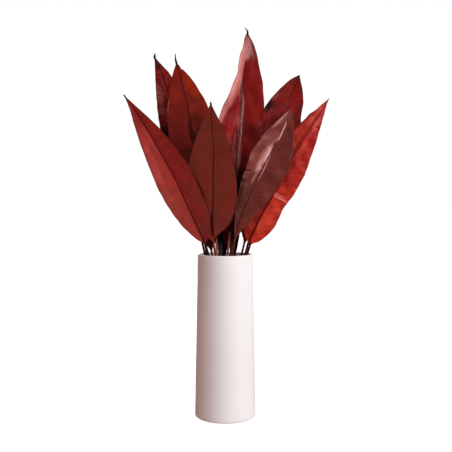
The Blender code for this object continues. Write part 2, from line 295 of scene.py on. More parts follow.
LOOKS = {
    "leaf_far_left": Look(
        1.3, (136, 48, 40), (150, 48, 43), (112, 40, 33), (130, 34, 31), (0.15, 0.65),
        (158, 44, 40), 0.35, (104, 44, 36), 0.4,
        (74, 8, 6), (72, 12, 11), 1.6, (84, 22, 22), (48, 12, 14), (44, 20, 18),
        0.6, 0.03, 0.0, 0.1, 0.03, 0.25),
    "leaf_left_back": Look(
        2.1, (92, 22, 20), (120, 28, 27), (80, 16, 14), (116, 24, 20), (0.45, 0.75),
        (118, 30, 28), 0.35, (54, 14, 14), 0.4,
        (40, 6, 6), (50, 8, 10), 1.9, (40, 10, 10), (30, 14, 15), (44, 18, 16),
        0.5, 0.06, 0.0, 0.06, 0.2, 0.35),
    "leaf_left_middle": Look(
        3.7, (98, 25, 21), (112, 28, 19), (66, 22, 17), (122, 36, 26), (0.55, 0.85),
        (128, 30, 20), 0.35, (94, 32, 26), 0.35,
        (30, 3, 2), (70, 13, 10), 2.1, (96, 28, 22), (50, 20, 18), (40, 16, 14),
        0.55, 0.03, 0.0, 0.1, 0.05, 0.35),
    "leaf_front": Look(
        4.9, (114, 42, 34), (108, 42, 33), (116, 44, 35), (108, 43, 34), (0.3, 0.8),
        (130, 36, 32), 0.45, (98, 50, 38), 0.5,
        (44, 5, 3), (62, 19, 16), 1.8, (70, 24, 19), (54, 24, 21), (112, 44, 32),
        0.75, 0.02, 0.0, 0.06, 0.02, 0.1),
    # leaf_tall: the pale upper colour of the left half is painted sheen on its folded flap; the last
    # entry gives the painted ridge highlight and furrow shade.
    "leaf_tall": Look(
        5.5, (108, 22, 21), (200, 120, 115), (88, 15, 14), (126, 26, 23), (0.42, 0.74),
        (140, 24, 21), 0.35, (100, 16, 16), 0.35,
        (52, 10, 10), (76, 22, 22), 0.95, (96, 22, 22), (24, 14, 14), (150, 88, 84),
        0.42, 0.08, 0.0, 0.1, 0.05, 0.2, (1.7, (208, 156, 154), 0.36, 0.69)),
    "leaf_front_right": Look(
        6.2, (82, 35, 28), (125, 58, 51), (108, 45, 37), (111, 46, 39), (0.28, 0.58),
        (126, 54, 44), 0.4, (90, 44, 40), 0.45,
        (52, 14, 9), (74, 28, 26), 1.1, (104, 50, 46), (96, 56, 52), (78, 34, 28),
        0.4, 0.14, 0.15, 0.14, 0.06, -0.2),
    "leaf_right_back": Look(
        7.4, (76, 9, 9), (120, 25, 22), (84, 8, 7), (122, 22, 19), (0.64, 0.84),
        (130, 26, 24), 0.35, (92, 20, 18), 0.35,
        (50, 5, 5), (66, 8, 8), 1.1, (56, 10, 10), (44, 12, 12), (46, 16, 14),
        0.5, 0.04, 0.0, 0.1, 0.06, 0.3),
    "leaf_far_right": Look(
        8.8, (134, 28, 18), (156, 42, 33), (194, 52, 35), (162, 38, 29), (0.3, 0.6),
        (186, 58, 46), 0.35, (146, 34, 26), 0.35,
        (66, 3, 2), (84, 6, 4), 1.9, (112, 28, 24), (104, 34, 30), (56, 22, 18),
        0.45, 0.06, 0.0, 0.12, 0.09, 0.2),
    "leaf_behind_left": Look(
        9.6, (70, 18, 16), (84, 22, 20), (70, 18, 16), (84, 22, 20), (0.3, 0.8),
        (100, 26, 22), 0.35, (48, 12, 12), 0.4,
        (36, 10, 10), (44, 12, 12), 1.2, (50, 14, 14), (40, 18, 16), (40, 18, 16)),
    "leaf_behind_middle_left": Look(
        10.3, (76, 22, 18), (92, 26, 22), (76, 22, 18), (92, 26, 22), (0.3, 0.8),
        (108, 32, 26), 0.35, (54, 16, 14), 0.4,
        (36, 10, 10), (46, 14, 12), 1.2, (52, 16, 14), (44, 20, 16), (186, 110, 92)),
    "leaf_behind_centre": Look(
        11.9, (12, 7, 8), (88, 24, 24), (14, 8, 9), (88, 24, 24), (0.22, 0.45),
        (70, 22, 22), 0.3, (16, 8, 8), 0.5,
        (20, 10, 10), (30, 12, 12), 1.2, (20, 10, 10), (40, 18, 18), (20, 12, 12),
        0.3, 0.12),
    "leaf_behind_middle_right": Look(
        12.7, (76, 22, 18), (86, 22, 22), (56, 14, 12), (86, 22, 22), (0.3, 0.8),
        (108, 34, 30), 0.4, (44, 10, 10), 0.5,
        (40, 10, 10), (46, 12, 12), 1.2, (40, 10, 10), (40, 18, 16), (60, 24, 20)),
    "leaf_behind_right": Look(
        13.1, (34, 8, 8), (90, 24, 22), (30, 8, 8), (90, 24, 22), (0.3, 0.8),
        (104, 28, 24), 0.35, (50, 14, 12), 0.4,
        (36, 10, 10), (44, 12, 12), 1.2, (50, 14, 14), (40, 18, 16), (40, 18, 16)),
}

# Single patches of another colour, some a tint of the leaf and many painted light:
# painted highlights and sheen, and painted shade where a leaf in front shades it
# or where leaves crowd together. Columns: place along and across the blade, reach
# along and across, how broken up it is, colour, strength and lean of its long side.
TintAndPaintedLightPatch = namedtuple(
    "TintAndPaintedLightPatch", "along across reach_along reach_across broken colour strength lean", defaults=(0.0,))
TINT_AND_PAINTED_LIGHT_PATCHES = {
    "leaf_far_left": (
        # Painted highlight on the left half.
        (0.56, -0.7, 0.2, 0.28, 0.7, (172, 66, 60), 0.6),
        (0.45, -0.1, 0.25, 0.12, 0.4, (146, 40, 34), 0.5),
        (0.2, 0.3, 0.12, 0.7, 0.6, (122, 46, 38), 0.45),
        (0.34, -0.8, 0.1, 0.4, 0.6, (150, 60, 54), 0.45),
        (0.86, -0.3, 0.07, 1.2, 0.4, (114, 28, 26), 0.6),
        (0.79, 0.55, 0.06, 0.35, 0.6, (146, 34, 30), 0.7),
        (0.22, 0.45, 0.07, 0.3, 1.0, (140, 30, 28), 0.5),
        # Painted shade: a dark strip along the lower right margin, standing in for the shadow this
        # leaf casts on the leaves behind.
        (0.33, 1.0, 0.14, 0.12, 0.3, (40, 3, 2), 0.95),
    ),
    "leaf_left_back": (
        # Painted highlights on the ripples of the left half (next three rows).
        (0.8, -0.75, 0.06, 0.4, 0.6, (148, 80, 76), 0.75),
        (0.71, -0.66, 0.03, 0.3, 0.5, (126, 66, 58), 0.8),
        (0.655, -0.42, 0.02, 0.22, 0.5, (118, 52, 48), 0.75),
        # Painted shade: the lower left half darkened almost to black.
        (0.58, -0.6, 0.05, 0.6, 0.3, (26, 5, 4), 0.9),
        (0.72, -1.0, 0.07, 0.08, 0.5, (36, 8, 8), 0.7),
        (0.96, 0.0, 0.04, 1.2, 0.4, (62, 14, 17), 0.75),
    ),
    "leaf_left_middle": (
        (0.95, -0.2, 0.05, 1.2, 0.5, (132, 27, 5), 0.7),
        (0.87, 0.62, 0.075, 0.42, 0.5, (152, 42, 10), 0.8),
        (0.75, 0.9, 0.06, 0.2, 0.4, (134, 34, 8), 0.8),
        (0.83, -0.62, 0.05, 0.4, 0.6, (134, 32, 14), 0.55),
        (0.69, 0.3, 0.05, 0.25, 0.6, (76, 20, 15), 0.5),
        (0.62, -0.05, 0.1, 0.12, 0.4, (34, 3, 2), 0.8),
        (0.79, -0.96, 0.04, 0.05, 0.5, (150, 78, 74), 0.7),
        (0.53, -0.3, 0.04, 0.9, 0.3, (70, 20, 18), 0.7),
        # Painted shade: the base darkened where it sits among the other leaves.
        (0.04, 0.0, 0.2, 2.0, 0.3, (34, 4, 4), 0.9),
    ),
    "leaf_front": (
        # Painted shade along the lower right margin, beside the leaf next to it.
        (0.2, 1.0, 0.13, 0.1, 0.3, (38, 4, 3), 0.9),
        # Painted shade in the fold beside the midrib, low down.
        (0.13, -0.05, 0.1, 0.14, 0.3, (48, 12, 6), 0.8),
        (0.46, -0.3, 0.1, 0.3, 0.8, (124, 38, 31), 0.45),
        (0.42, 0.6, 0.07, 0.3, 0.8, (126, 44, 36), 0.45),
    ),
    "leaf_tall": (
        (0.62, -0.45, 0.12, 0.6, 0.5, (122, 26, 25), 0.95),
        # Painted sheen: pale pink on the folded left half and its margin (next two rows).
        (0.8, -0.8, 0.17, 0.4, 0.4, (214, 142, 137), 0.8),
        (0.64, -1.0, 0.08, 0.26, 0.6, (214, 136, 132), 0.9),
        # Painted shade beside the midrib under the fold.
        (0.65, -0.3, 0.05, 0.25, 0.8, (92, 14, 13), 0.75, 0.2),
        # Painted sheen on the folded left half.
        (0.74, -0.45, 0.05, 0.25, 0.6, (176, 92, 88), 0.6),
        (0.575, -0.55, 0.08, 0.5, 0.5, (138, 20, 21), 0.9, 0.2),
        (0.5, -0.5, 0.07, 0.45, 0.8, (188, 48, 46), 0.65, 0.3),
        (0.62, 0.4, 0.07, 0.6, 0.5, (130, 27, 24), 0.6),
        # Painted sheen along the left margin.
        (0.61, -0.86, 0.06, 0.24, 0.7, (214, 118, 112), 0.85, 0.2),
        # Painted shade beside the midrib under the fold (next two rows).
        (0.745, -0.12, 0.1, 0.16, 0.4, (92, 14, 13), 0.9),
        (0.64, -0.1, 0.05, 0.1, 0.4, (80, 14, 12), 0.8),
        # Painted highlights beside the midrib (next three rows).
        (0.56, -0.12, 0.05, 0.05, 0.6, (156, 72, 70), 0.8),
        (0.46, -0.22, 0.07, 0.09, 0.6, (168, 76, 74), 0.85),
        (0.41, -0.14, 0.05, 0.08, 0.4, (156, 74, 68), 0.8),
        # Painted sheen and painted highlight lines near the tip (next three rows).
        (0.95, 0.05, 0.065, 1.1, 0.3, (188, 130, 128), 0.8, -0.03),
        (0.91, 0.07, 0.05, 0.07, 0.3, (222, 166, 157), 0.9),
        (0.895, 0.14, 0.035, 0.22, 0.5, (204, 146, 142), 0.8),
        (0.93, 0.95, 0.08, 0.4, 0.3, (112, 40, 40), 0.9),
        # Painted sheen on the left half near the tip (next two rows).
        (0.95, -0.6, 0.03, 0.5, 0.4, (156, 88, 84), 0.7),
        (0.79, -0.36, 0.055, 0.3, 0.5, (198, 114, 110), 0.75),
        # Painted shade lines beside the midrib (next two rows).
        (0.47, -0.17, 0.1, 0.03, 0.3, (34, 6, 6), 0.75),
        (0.765, 0.03, 0.055, 0.045, 0.3, (64, 12, 14), 0.85),
        (0.585, -0.36, 0.03, 0.15, 0.5, (104, 14, 16), 0.7, 0.2),
        (0.45, 0.25, 0.05, 0.6, 0.6, (138, 24, 22), 0.6),
        # Painted shade on the lower blade, shadowed by the leaves in front.
        (0.24, 0.35, 0.06, 0.5, 0.4, (32, 2, 2), 0.9),
        (0.972, -0.95, 0.022, 0.55, 0.2, (22, 12, 12), 0.95),
        (0.6, 0.68, 0.06, 0.35, 0.6, (146, 24, 20), 0.75),
        (0.52, 0.6, 0.05, 0.4, 0.5, (94, 12, 12), 0.7),
        (0.54, 0.1, 0.08, 0.04, 0.6, (140, 50, 48), 0.4),
        # Painted highlight on the pale shoulder of the midrib.
        (0.4, 0.1, 0.07, 0.08, 0.3, (134, 84, 82), 0.8),
        # Painted shade on the lower blade and at the base (next two rows).
        (0.3, 0.4, 0.06, 0.6, 0.3, (26, 1, 1), 0.8),
        (0.04, 0.0, 0.14, 2.0, 0.3, (52, 6, 9), 0.85),
    ),
    "leaf_front_right": (
        # Painted highlights: the sheen streak left of the midrib, the thin lines along it and the
        # pale patches near the tip (next ten rows).
        (0.6, -0.32, 0.14, 0.2, 0.9, (170, 108, 104), 0.6),
        (0.64, -0.2, 0.11, 0.16, 0.9, (204, 152, 148), 0.85, -0.1),
        (0.66, -0.1, 0.07, 0.06, 0.6, (224, 176, 172), 0.8, -0.1),
        (0.57, -0.28, 0.07, 0.14, 0.9, (196, 144, 140), 0.7),
        (0.46, -0.28, 0.05, 0.1, 0.6, (178, 118, 112), 0.7),
        (0.77, -0.06, 0.03, 0.06, 0.5, (190, 128, 126), 0.8),
        (0.81, 0.04, 0.055, 0.07, 0.5, (232, 184, 182), 0.95),
        (0.88, 0.07, 0.04, 0.1, 0.5, (226, 174, 172), 0.95),
        (0.55, 0.04, 0.12, 0.026, 0.2, (224, 164, 162), 0.9),
        (0.92, -0.85, 0.09, 0.35, 0.6, (178, 122, 118), 0.75),
        (0.94, 0.1, 0.05, 0.5, 0.5, (142, 74, 72), 0.6),
        (0.66, -0.95, 0.12, 0.2, 1.0, (146, 84, 78), 0.6),
        (0.48, -0.85, 0.05, 0.3, 0.8, (140, 76, 66), 0.6, 0.1),
        (0.496, -0.9, 0.008, 0.3, 0.2, (36, 10, 8), 0.9, 0.05),
        (0.34, -0.98, 0.14, 0.34, 0.3, (40, 9, 6), 0.9),
        (0.8, 0.55, 0.1, 0.4, 0.5, (98, 37, 32), 0.6),
        (0.34, 0.45, 0.07, 0.5, 0.8, (116, 50, 42), 0.5),
        (0.56, 0.97, 0.12, 0.1, 0.5, (90, 30, 28), 0.6),
    ),
    "leaf_right_back": (
        # Painted shade: dark at the notch and beside leaf_tall (next two rows).
        (0.765, -0.85, 0.045, 0.35, 0.5, (46, 5, 6), 0.9),
        (0.7, -0.25, 0.05, 0.22, 0.5, (74, 10, 11), 0.8),
        # Painted highlights (next three rows).
        (0.83, -0.85, 0.025, 0.14, 0.9, (132, 66, 70), 0.7),
        (0.745, -0.62, 0.035, 0.1, 0.9, (118, 48, 52), 0.6),
        (0.8, 0.02, 0.05, 0.08, 0.9, (146, 66, 62), 0.6),
        (0.97, 0.0, 0.04, 1.2, 0.4, (92, 20, 20), 0.7),
        (0.8, 0.85, 0.08, 0.25, 0.5, (80, 20, 19), 0.75),
    ),
    "leaf_far_right": (
        (0.85, -0.35, 0.05, 0.22, 0.7, (190, 76, 62), 0.7),
        (0.92, -0.5, 0.05, 0.6, 0.5, (172, 72, 66), 0.6),
        (0.18, 0.55, 0.06, 0.35, 0.6, (206, 66, 46), 0.7),
        (0.8, -0.95, 0.12, 0.14, 0.5, (110, 24, 20), 0.7),
        # Painted highlight.
        (0.84, 0.42, 0.05, 0.35, 0.6, (202, 94, 83), 0.75),
        (0.72, 0.3, 0.1, 0.16, 0.9, (192, 62, 56), 0.6),
        # Painted shadow cast by leaf_front_right (next two rows).
        (0.52, 0.15, 0.12, 0.18, 0.5, (122, 20, 18), 0.75),
        (0.5, -0.12, 0.3, 0.16, 0.3, (72, 4, 2), 0.8),
        (0.94, 0.0, 0.05, 1.2, 0.4, (184, 72, 70), 0.5),
        (0.76, 0.75, 0.05, 0.4, 0.5, (164, 26, 30), 0.6),
        (0.47, 0.5, 0.08, 0.45, 0.5, (150, 28, 28), 0.6),
        # Painted shadow cast by leaf_front_right.
        (0.41, 0.08, 0.05, 0.12, 0.4, (104, 14, 12), 0.8),
        # Painted highlights on the crease (next three rows).
        (0.346, 0.5, 0.006, 0.5, 0.35, (236, 138, 126), 0.85),
        (0.36, 0.46, 0.005, 0.4, 0.35, (222, 112, 100), 0.75),
        (0.354, 0.18, 0.018, 0.2, 0.5, (206, 98, 88), 0.8),
        (0.17, 0.25, 0.07, 0.25, 0.6, (214, 76, 52), 0.65),
        (0.28, 0.5, 0.05, 0.4, 0.6, (198, 58, 46), 0.6),
        (0.2, 0.85, 0.14, 0.22, 0.5, (168, 48, 34), 0.55),
    ),
    "leaf_behind_centre": (
        # Painted grey streak highlights (next two rows).
        (0.15, -0.28, 0.045, 0.06, 0.2, (150, 140, 140), 0.6),
        (0.16, 0.04, 0.045, 0.05, 0.2, (130, 120, 122), 0.5),
        (0.1, -0.85, 0.1, 0.3, 0.2, (96, 30, 22), 0.9),
        (0.24, 0.5, 0.08, 0.65, 0.4, (94, 22, 30), 0.85),
    ),
}

# Leaves whose ribbed underside faces the front.
REVERSED = ("leaf_tall",)


def unit(vectors):
    return vectors / np.linalg.norm(vectors, axis=-1, keepdims=True)


def smooth(values):
    values = np.clip(values, 0.0, 1.0)
    return values * values * (3.0 - 2.0 * values)


def soft_noise(seed, shortest, longest, count=10):
    """A repeatable rolling surface of unit height made of a few slow waves."""
    draw = random.Random(seed)
    terms = []
    for _ in range(count):
        length = (shortest + (longest - shortest) * draw.random()) * MM
        heading = 2.0 * math.pi * draw.random()
        phase = 2.0 * math.pi * draw.random()
        terms.append((math.cos(heading) / length, math.sin(heading) / length, phase))

    def sample(across, run):
        total = 0.0
        for slope_across, slope_run, phase in terms:
            total = total + np.sin(2.0 * math.pi * (across * slope_across + run * slope_run) + phase)
        return total / math.sqrt(count / 2.0)

    return sample


def tube_faces(rows, count):
    """Quads between the rows of a tube, and its two end faces."""
    corner = np.arange(rows * count).reshape(rows, count)
    following = np.roll(corner, -1, axis=1)
    quads = np.stack([corner[:-1], following[:-1], following[1:], corner[1:]], -1)
    return quads.reshape(-1, 4).tolist() + [corner[0][::-1].tolist(), corner[-1].tolist()]


def add_object(name, data):
    item = bpy.data.objects.new(name, data)
    bpy.context.scene.collection.objects.link(item)
    return item


def add_mesh(name, points, faces, material, sharp_angle, attributes=None):
    mesh = bpy.data.meshes.new(name)
    mesh.from_pydata(np.asarray(points).tolist(), [], faces)
    for key, values in (attributes or {}).items():
        layer = mesh.attributes.new(key, "FLOAT", "POINT")
        layer.data.foreach_set("value", np.asarray(values, np.float32).ravel())
    mesh.materials.append(material)
    mesh.shade_smooth()
    mesh.set_sharp_from_angle(angle=sharp_angle)
    return add_object(name, mesh)


# ---------------------------------------------------------------- leaves

def leaf_curve(leaf):
    """Stalk's foot, where it passes the mouth, and the curve onward with its running length."""
    mouth_x, mouth_y = leaf.mouth
    turn_cos = math.cos(STALK_SWIRL) * STALK_GATHER
    turn_sin = math.sin(STALK_SWIRL) * STALK_GATHER
    foot = np.array((
        turn_cos * mouth_x - turn_sin * mouth_y, turn_sin * mouth_x + turn_cos * mouth_y,
        STALK_FOOT_Z)) * MM
    mouth = np.array((mouth_x, mouth_y, STALK_MOUTH_Z)) * MM
    onward = mouth + unit(mouth - foot) * leaf.rise * MM
    bend = np.array(leaf.bend) * MM
    tip = np.array(leaf.tip) * MM
    t = np.linspace(0.0, 1.0, CURVE_SAMPLES + 1)[:, None]
    u = 1.0 - t
    points = mouth * u**3 + onward * (3.0 * u * u * t) + bend * (3.0 * u * t * t) + tip * t**3
    runs = np.concatenate([[0.0], np.cumsum(np.linalg.norm(np.diff(points, axis=0), axis=1))])
    return foot, mouth, points, runs


def at_runs(rows, runs, wanted):
    return np.stack([np.interp(wanted, runs, rows[:, axis]) for axis in range(3)], 1)


def leaf_rows(leaf, tip):
    """Centre line from the stalk's foot to the end of the drawn-out tip.

    For each row: its centre, heading, place along the blade, distance run from the
    blade's base, how round the section is there and the radius of that round part.
    """
    foot, mouth, points, runs = leaf_curve(leaf)
    bare = leaf.bare * MM
    length = runs[-1] - bare
    headings = unit(np.gradient(points, runs, axis=0))
    straight = unit(mouth - foot)
    step = np.linspace(0.0, 1.0, BLADE_ROWS + 1)
    along = 0.5 * step + 0.5 * (0.5 - 0.5 * np.cos(math.pi * step))
    lowest = -np.linalg.norm(mouth - foot)
    parts = [np.linspace(lowest, min(bare, 0.0), INSIDE_ROWS, endpoint=False)]
    if bare > 0.0:
        parts.append(np.linspace(0.0, bare, BARE_ROWS, endpoint=False))
    parts.append(bare + along * length)
    from_mouth = np.concatenate(parts)
    lower_centres = mouth + straight * np.clip(from_mouth, None, 0.0)[:, None]
    upper_centres = at_runs(points, runs, from_mouth)
    stem_centres = np.where(from_mouth[:, None] < 0.0, lower_centres, upper_centres)
    stem_headings = unit(at_runs(headings, runs, from_mouth))
    stem_headings[from_mouth < 0.0] = straight
    drip = np.array(leaf.drip) * MM * tip[2]
    reach = np.linalg.norm(drip)
    apex = points[-1]
    middle = apex + headings[-1] * reach / 2.0
    t = np.linspace(0.0, 1.0, DRIP_ROWS + 1)[1:, None]
    u = 1.0 - t
    drip_centres = apex * u * u + middle * (2.0 * u * t) + (apex + drip) * t * t
    drip_headings = unit((middle - apex) * u + (apex + drip - middle) * t)
    centres = np.concatenate([stem_centres, drip_centres])
    heading = np.concatenate([stem_headings, drip_headings])
    run = np.concatenate([from_mouth - bare, length + t[:, 0] * reach])
    place = np.clip(run / length, 0.0, 1.0)
    drip_share = np.clip((run - length) / reach, 0.0, 1.0)
    below = run < 0.0
    roundness = np.where(below, 1.0, 1.0 - smooth(place / NECK_LENGTH))
    roundness = np.where(drip_share > 0.0, smooth(drip_share * DRIP_ROUNDING), roundness)
    swelling = smooth((run + bare) / (STALK_SWELLING_LENGTH * MM) + 1.0)
    stalk_radius = STALK_RADIUS + (STALK_MOUTH_RADIUS - STALK_RADIUS) * swelling
    radius = np.where(
        drip_share > 0.0, tip[0] + (tip[1] - tip[0]) * drip_share, stalk_radius) * MM
    return centres, heading, place, run, roundness, radius, length


def half_width(half, along, pinch):
    """Width of one half, narrowing a little more close to the apex by the pinch."""
    towards_base = np.clip((half.belly - along) / half.belly, 0.0, 1.0)
    towards_tip = np.clip((along - half.belly) / (1.0 - half.belly), 0.0, 1.0)
    shape = np.where(
        along < half.belly, 1.0 - towards_base**half.base_fullness,
        1.0 - towards_tip**half.tip_fullness)
    narrowing = 1.0 - pinch * smooth((along - PINCH_START) / (1.0 - PINCH_START))
    return half.width * MM * np.clip(shape * narrowing, 0.0, None)


def midrib_swing(stops, place):
    """Sideways shift of the midrib, run smoothly through the given stops."""
    stops = np.array(stops, float)
    fine = np.linspace(0.0, 1.0, 401)
    shift = np.interp(fine, stops[:, 0], stops[:, 1] * MM)
    kernel = np.hanning(SWING_SOFTNESS)
    shift = np.convolve(
        np.pad(shift, SWING_SOFTNESS // 2, mode="edge"), kernel / kernel.sum(), "valid")
    return np.interp(place, fine, shift)


def crease_height(crease, share, across, run, length):
    """A short ridge or furrow running mostly across the blade."""
    ahead = run - crease.along * length - crease.slope * across
    beside = (share - crease.across) * np.abs(across).max(axis=1, keepdims=True)
    lengthwise = np.exp(-(ahead / (crease.width * MM)) ** 2)
    crosswise = np.exp(-(beside / (crease.length * MM)) ** 2)
    return crease.height * MM * lengthwise * crosswise


def relief_height(relief, share, across, run, length, width):
    """Height of the sheet over its plain form, zero on the stalk and at the tip."""
    roll = soft_noise(relief.seed, *relief.roll_waves)
    jitter = soft_noise(relief.seed + 50, 14.0, 40.0)
    outwards = np.abs(share)
    vein_run = run - VEIN_LEAN * np.abs(across) - VEIN_BOW * np.abs(across) * outwards
    ribbing = np.sin(
        2.0 * math.pi * vein_run / (relief.spacing * MM) + 1.4 * jitter(across, run))
    uneven = 0.6 + 0.4 * soft_noise(relief.seed + 90, 30.0, 70.0)(across, run)
    height = relief.roll * MM * roll(across, run) * smooth(outwards / 0.35)
    height += relief.pucker * MM * ribbing * uneven * smooth(outwards / 0.2)
    for index in range(2):
        chosen = share < 0.0 if index == 0 else share > 0.0
        wave = np.sin(
            2.0 * math.pi * run / (relief.margin_length[index] * MM) + relief.seed + index
            + 1.5 * jitter(across * 0.3, run * 0.5))
        height += np.where(
            chosen, relief.margin_waves[index] * MM * wave * outwards**2.5, 0.0)
    for crease in relief.creases:
        height += crease_height(crease, share, across, run, length)
    settled = smooth(width / (RELIEF_FADE_WIDTH * MM)) * smooth(run / (RELIEF_FADE_LENGTH * length))
    return height * settled


def blade_halves(leaf, relief, place, run):
    """Midrib's sideways shift, and each half's width and fold, at each row."""
    outline = soft_noise(relief.seed + 20, 18.0, 60.0)
    widths = []
    for index, half in enumerate((leaf.left, leaf.right)):
        width = half_width(half, place, relief.pinch[index])
        width = width * (1.0 + OUTLINE_WAVER * outline(index * 0.3, run))
        for notch in relief.notches:
            if notch.side == 2 * index - 1:
                dent = np.exp(-((place - notch.along) / notch.reach) ** 2)
                width = width - notch.depth * MM * dent * smooth(place / NOTCH_FADE)
        widths.append(np.maximum(width, relief.tip[0] * MM))
    swing = midrib_swing(relief.swing, place) * smooth(place / SWING_FADE)
    swing = np.clip(swing, -SWING_LIMIT * widths[0], SWING_LIMIT * widths[1])
    widths = [widths[0] + swing, widths[1] - swing]
    folds = []
    folding = smooth((place - leaf.fold_span[0]) / (leaf.fold_span[1] - leaf.fold_span[0]))
    for index, width in enumerate(widths):
        angle = leaf.fold[index] + (leaf.fold_tip[index] - leaf.fold[index]) * folding
        folds.append(np.radians(angle) * smooth(width / (FOLD_FADE_WIDTH * MM)))
    return swing, widths, folds


def sheet_thickness(leaf, place, reach, width, edge):
    """Thickness above and beneath the blade's middle surface; one side carries the midrib."""
    sheet = SHEET_HALF_THICKNESS * MM * np.sqrt(np.clip(edge / (EDGE_TAPER_WIDTH * MM), 0.0, 1.0))
    rib_width = RIB_WIDTH_BASE + (RIB_WIDTH_TIP - RIB_WIDTH_BASE) * place
    rib_width = np.minimum(rib_width * MM, RIB_WIDTH_LIMIT * width)
    rib_height = RIB_HEIGHT_BASE + (RIB_HEIGHT_TIP - RIB_HEIGHT_BASE) * place**RIB_THINNING
    rib = rib_height * MM * np.exp(-(reach / rib_width) ** 2)
    groove = GROOVE_DEPTH * MM * np.exp(-(reach / (GROOVE_WIDTH * rib_width)) ** 2)
    if leaf.name in REVERSED:
        return sheet + rib, sheet - groove
    return sheet - groove, sheet + rib


def build_leaf_mesh(leaf):
    """Corners and faces of stalk, blade and tip in one skin, and what its material reads."""
    relief = RELIEFS.get(leaf.name, PLAIN_RELIEF)
    centres, heading, place, run, roundness, radius, length = leaf_rows(leaf, relief.tip)
    facing = np.radians(leaf.face + leaf.turn * place)
    aim = np.stack([np.cos(facing), np.sin(facing), np.zeros_like(facing)], 1)
    across_dir = unit(np.cross(heading, aim))
    upper_dir = np.cross(across_dir, heading)[:, None, :]
    swing, widths, folds = blade_halves(leaf, relief, place, run)
    centres = centres + across_dir * swing[:, None]
    across_dir = across_dir[:, None, :]

    # From here on, a row for each place along the leaf and a column across it.
    share = np.array([-v for v in reversed(HALF_COLUMNS)] + [0.0] + list(HALF_COLUMNS))[None]
    side = np.sign(share)
    outwards = np.abs(share)
    place, run, radius = place[:, None], run[:, None], radius[:, None]
    round_part = roundness[:, None]
    flat_part = 1.0 - round_part
    width = np.where(share < 0.0, widths[0][:, None], widths[1][:, None])
    fold = np.where(share < 0.0, folds[0][:, None], folds[1][:, None])
    reach = flat_part * width * outwards
    reach = reach + round_part * radius * np.sin(outwards * math.pi / 2.0)
    softness = FOLD_SOFTNESS * MM * smooth(width / (FOLD_FADE_WIDTH * MM)) + 1e-6
    lift = np.sin(fold) * (np.sqrt(reach**2 + softness**2) - softness)
    sideways = np.cos(fold) * reach * side
    middle = centres[:, None, :] + across_dir * sideways[..., None] + upper_dir * lift[..., None]
    half_normal = (
        upper_dir * np.cos(fold)[..., None] - across_dir * (side * np.sin(fold))[..., None])
    signed = reach * side
    height = relief_height(relief, share, signed, run, length, width) * flat_part
    middle = middle + half_normal * height[..., None]
    normal = unit(np.cross(np.gradient(middle, axis=1), np.gradient(middle, axis=0)))
    edge = width * (1.0 - outwards)
    plain, ribbed = sheet_thickness(leaf, place, reach, width, edge)
    round_height = radius * np.cos(outwards * math.pi / 2.0)
    above = flat_part * plain + round_part * round_height
    beneath = flat_part * ribbed + round_part * round_height
    above[:, 0] = 0.0
    above[:, -1] = 0.0
    top = middle + normal * above[..., None]
    bottom = middle - normal * beneath[..., None]
    ring = np.concatenate([top, bottom[:, -2:0:-1]], axis=1)

    def around(values, lower=None):
        """Values of the upper side, then of the lower one, round each row."""
        lower = values if lower is None else lower
        values = np.broadcast_to(values, signed.shape)
        lower = np.broadcast_to(lower, signed.shape)
        return np.concatenate([values, lower[:, -2:0:-1]], axis=1)

    attributes = {
        "share": around(share),
        "across": around(signed),
        "run": around(run),
        "place": around(run / length),
        "edge": around(np.where(round_part > 0.5, 0.02, edge)),
        "under": around(0.0, 1.0),
    }
    return ring.reshape(-1, 3), tube_faces(*ring.shape[:2]), attributes


# ---------------------------------------------------------------- materials

def tone(red, green, blue):
    """A colour as seen on screen, in the linear values that the shader takes."""
    linear = []
    for value in (red, green, blue):
        value = value / 255.0
        low = value / 12.92
        high = ((value + 0.055) / 1.055) ** 2.4
        linear.append(low if value <= 0.04045 else high)
    return (*linear, 1.0)


